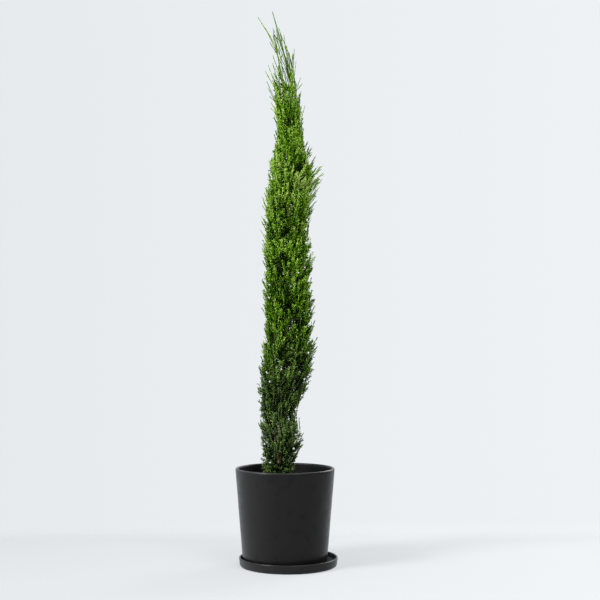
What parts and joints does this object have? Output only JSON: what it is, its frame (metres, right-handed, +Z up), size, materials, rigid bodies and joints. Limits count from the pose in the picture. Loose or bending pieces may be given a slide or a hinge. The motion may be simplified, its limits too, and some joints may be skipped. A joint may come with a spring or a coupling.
{
  "type": "italian cypress tree in a pot",
  "caption": "Slim columnar evergreen tree with erect foliage from soil to tip, in a round tapered pot on its saucer.",
  "frame": {"origin": "where the pot's axis meets the flat underside of the saucer", "axes": "+Z up the tree, -Y the front as pictured, +X to the right"},
  "size_m": [0.3145, 0.305, 1.7101],
  "materials": {
    "charcoal_ceramic": "matte charcoal, fine grained",
    "potting_mix": "moist, crumbly",
    "bark": "thin fibrous bark with fine lengthwise fissures",
    "deep_green_foliage": "old scale leaves, deep green",
    "mid_green_foliage": "scale leaves, mid green",
    "fresh_green_foliage": "young scale leaves, yellowish green"
  },
  "bodies": {
    "root": {"bough_high_middle_1": "bark", "bough_high_middle_2": "bark", "bough_high_middle_3": "bark", "bough_high_middle_4": "bark", "bough_low_middle_1": "bark", "bough_low_middle_2": "bark", "bough_low_middle_3": "bark", "bough_low_middle_4": "bark", "bough_lower_1": "bark", "bough_lower_2": "bark", "bough_lower_3": "bark", "bough_lower_4": "bark", "bough_middle_1": "bark", "bough_middle_2": "bark", "bough_middle_3": "bark", "bough_middle_4": "bark", "bough_upper_1": "bark", "bough_upper_2": "bark", "bough_upper_3": "bark", "bough_upper_4": "bark", "foliage_base_1": "deep_green_foliage", "foliage_base_2": "deep_green_foliage", "foliage_base_3": "deep_green_foliage", "foliage_base_4": "deep_green_foliage", "foliage_high_1": "fresh_green_foliage", "foliage_high_2": "fresh_green_foliage", "foliage_high_3": "fresh_green_foliage", "foliage_high_4": "fresh_green_foliage", "foliage_high_middle_1": "mid_green_foliage", "foliage_high_middle_2": "mid_green_foliage", "foliage_high_middle_3": "mid_green_foliage", "foliage_high_middle_4": "mid_green_foliage", "foliage_leader": "fresh_green_foliage", "foliage_low_middle_1": "mid_green_foliage", "foliage_low_middle_2": "mid_green_foliage", "foliage_low_middle_3": "mid_green_foliage", "foliage_low_middle_4": "mid_green_foliage", "foliage_lower_1": "deep_green_foliage", "foliage_lower_2": "deep_green_foliage", "foliage_lower_3": "deep_green_foliage", "foliage_lower_4": "deep_green_foliage", "foliage_middle_1": "mid_green_foliage", "foliage_middle_2": "mid_green_foliage", "foliage_middle_3": "mid_green_foliage", "foliage_middle_4": "mid_green_foliage", "foliage_side_leader": "fresh_green_foliage", "foliage_skirt_1": "deep_green_foliage", "foliage_skirt_2": "deep_green_foliage", "foliage_skirt_3": "deep_green_foliage", "foliage_top_1": "fresh_green_foliage", "foliage_top_2": "fresh_green_foliage", "foliage_top_3": "fresh_green_foliage", "foliage_upper_1": "fresh_green_foliage", "foliage_upper_2": "fresh_green_foliage", "foliage_upper_3": "fresh_green_foliage", "foliage_upper_4": "fresh_green_foliage", "pot": "charcoal_ceramic", "potting_mix": "potting_mix", "saucer": "charcoal_ceramic", "trunk": "bark"}
  },
  "joints": []
}
